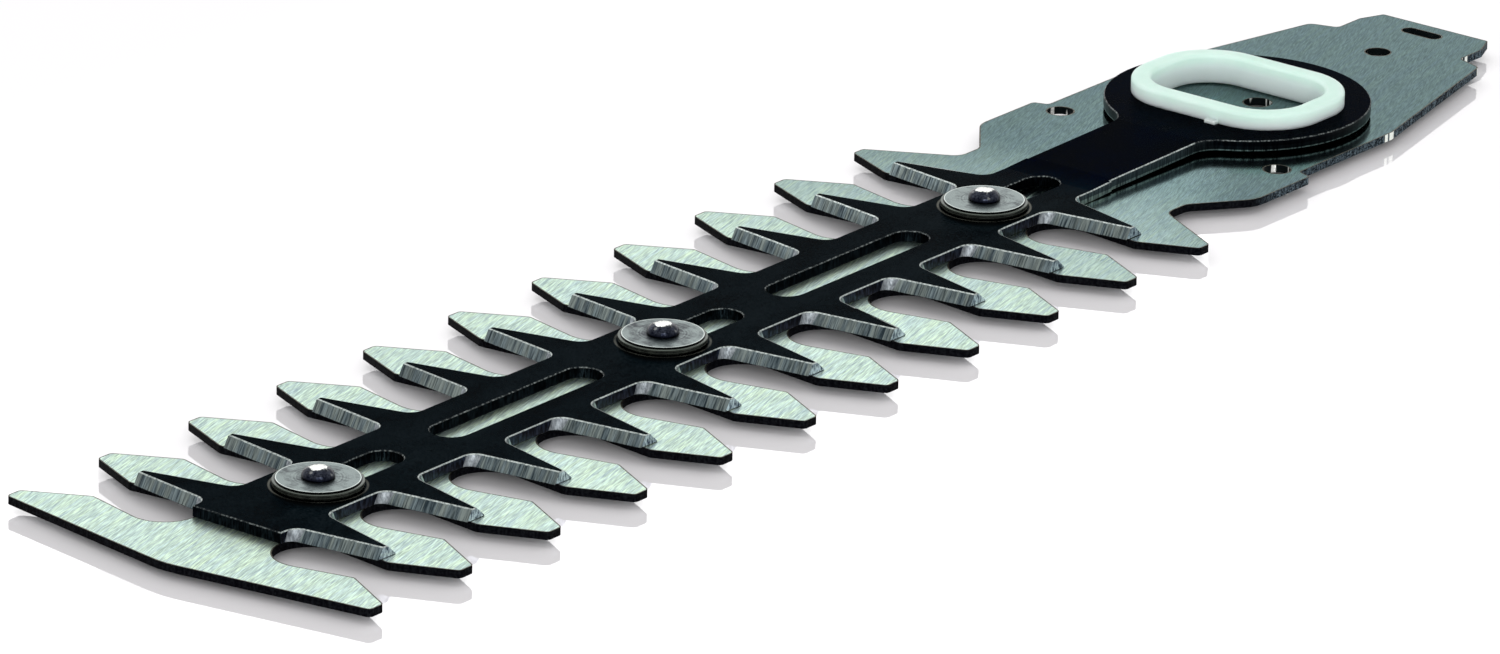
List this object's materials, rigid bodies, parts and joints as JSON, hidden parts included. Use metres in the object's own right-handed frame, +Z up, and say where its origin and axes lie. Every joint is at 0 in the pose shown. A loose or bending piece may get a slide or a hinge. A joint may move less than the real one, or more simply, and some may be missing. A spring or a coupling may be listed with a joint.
{
  "type": "hedge trimmer blade cartridge",
  "caption": "Hedge trimmer cutting cartridge: flat double-sided comb plate with a tang, a bevelled reciprocating blade on riveted guides, and a moulded drive ring.",
  "frame": {"origin": "axis of the locating hole in the tang, at the underside of the comb plate", "axes": "+X from the cutting end to the tang, along the stroke; +Y across, to the left seen from the tang; +Z up out of the comb plate, towards the moving blade"},
  "size_m": [0.3057, 0.0662, 0.0073],
  "materials": {
    "comb_steel": "bare steel, brushed along the blade",
    "blade_coat": "semi-gloss black coating, ground flanks bare",
    "ring_plastic": "milky white moulded plastic, satin",
    "washer_steel": "turned, satin",
    "rivet_steel": "dark, smooth",
    "bush_steel": "ground"
  },
  "bodies": {
    "comb": {"lower_blade": "comb_steel", "guide_bush_front": "bush_steel", "washer_front": "washer_steel", "rivet_front": "rivet_steel", "guide_bush_middle": "bush_steel", "washer_middle": "washer_steel", "rivet_middle": "rivet_steel", "guide_bush_rear": "bush_steel", "washer_rear": "washer_steel", "rivet_rear": "rivet_steel"},
    "cutter": {"upper_blade": "blade_coat", "drive_ring": "ring_plastic"}
  },
  "joints": [
    {"name": "blade_stroke", "type": "slide", "parent": "comb", "child": "cutter", "axis": [-1, 0, 0], "range_m": [0, 0.0084]}
  ]
}
